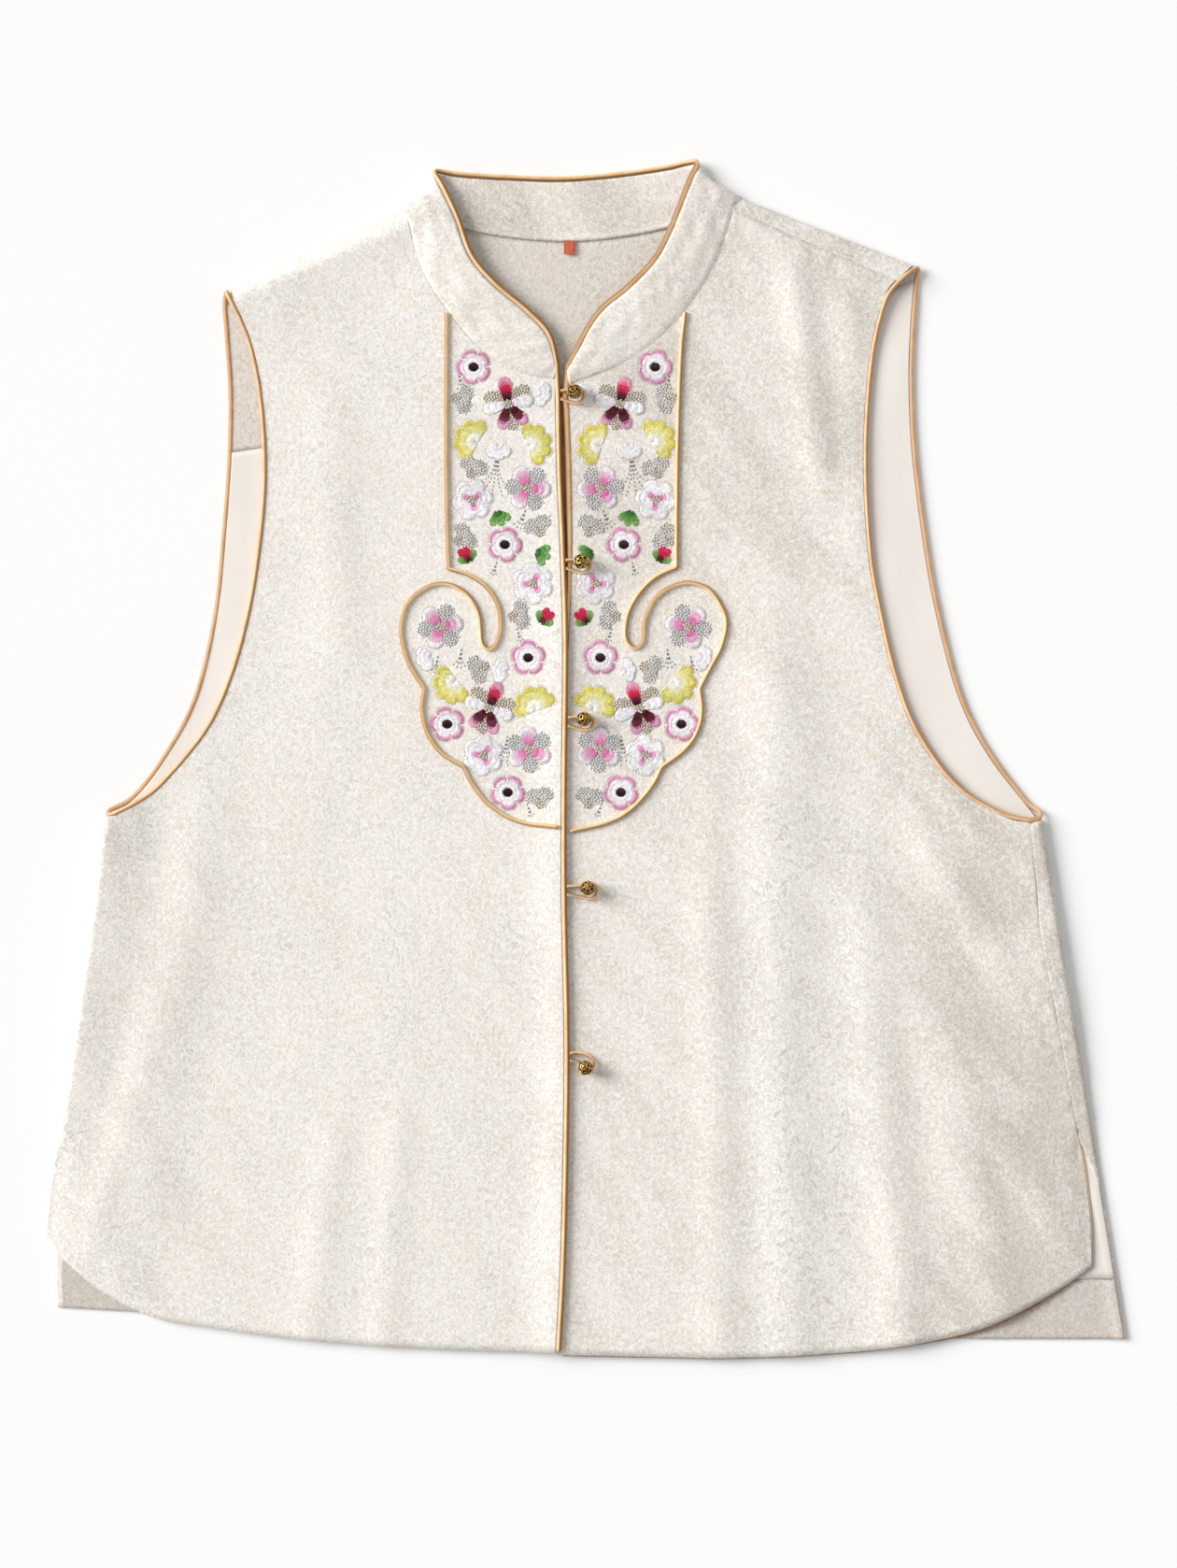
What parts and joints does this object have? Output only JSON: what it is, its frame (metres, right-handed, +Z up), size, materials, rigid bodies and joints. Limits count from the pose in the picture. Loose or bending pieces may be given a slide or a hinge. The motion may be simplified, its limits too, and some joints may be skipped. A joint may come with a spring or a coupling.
{
  "type": "embroidered waistcoat",
  "caption": "Sleeveless hip-length waistcoat in cream jacquard laid flat: stand collar, loop-and-ball front, piped edges, side slits and an embroidered cloud-shaped chest plaque.",
  "frame": {"origin": "centre of the bounding box on the surface the garment lies on", "axes": "+Z up out of the front, +Y from hem to collar, +X towards the wearer's left"},
  "size_m": [0.5539, 0.6144, 0.0154],
  "materials": {
    "jacquard": "cream leaf jacquard, soft silky sheen",
    "lining": "plain-weave cream lining, matt",
    "satin": "golden-orange satin bias binding",
    "cord": "old-gold covered cord",
    "brass": "antique openwork cast ball",
    "label": "plain red woven tab, unmarked"
  },
  "bodies": {
    "root": {"back": "jacquard", "front_right": "jacquard", "front_left": "jacquard", "collar": "jacquard", "neck_facing": "jacquard", "hem_facing": "jacquard", "lining": "lining", "edge_piping": "satin", "arm_piping_right": "satin", "arm_piping_left": "satin", "plaque_cord_right": "cord", "plaque_cord_left": "cord", "label": "label", "button_1": "brass", "loop_1": "cord", "button_2": "brass", "loop_2": "cord", "button_3": "brass", "loop_3": "cord", "button_4": "brass", "loop_4": "cord", "button_5": "brass", "loop_5": "cord"}
  },
  "joints": []
}
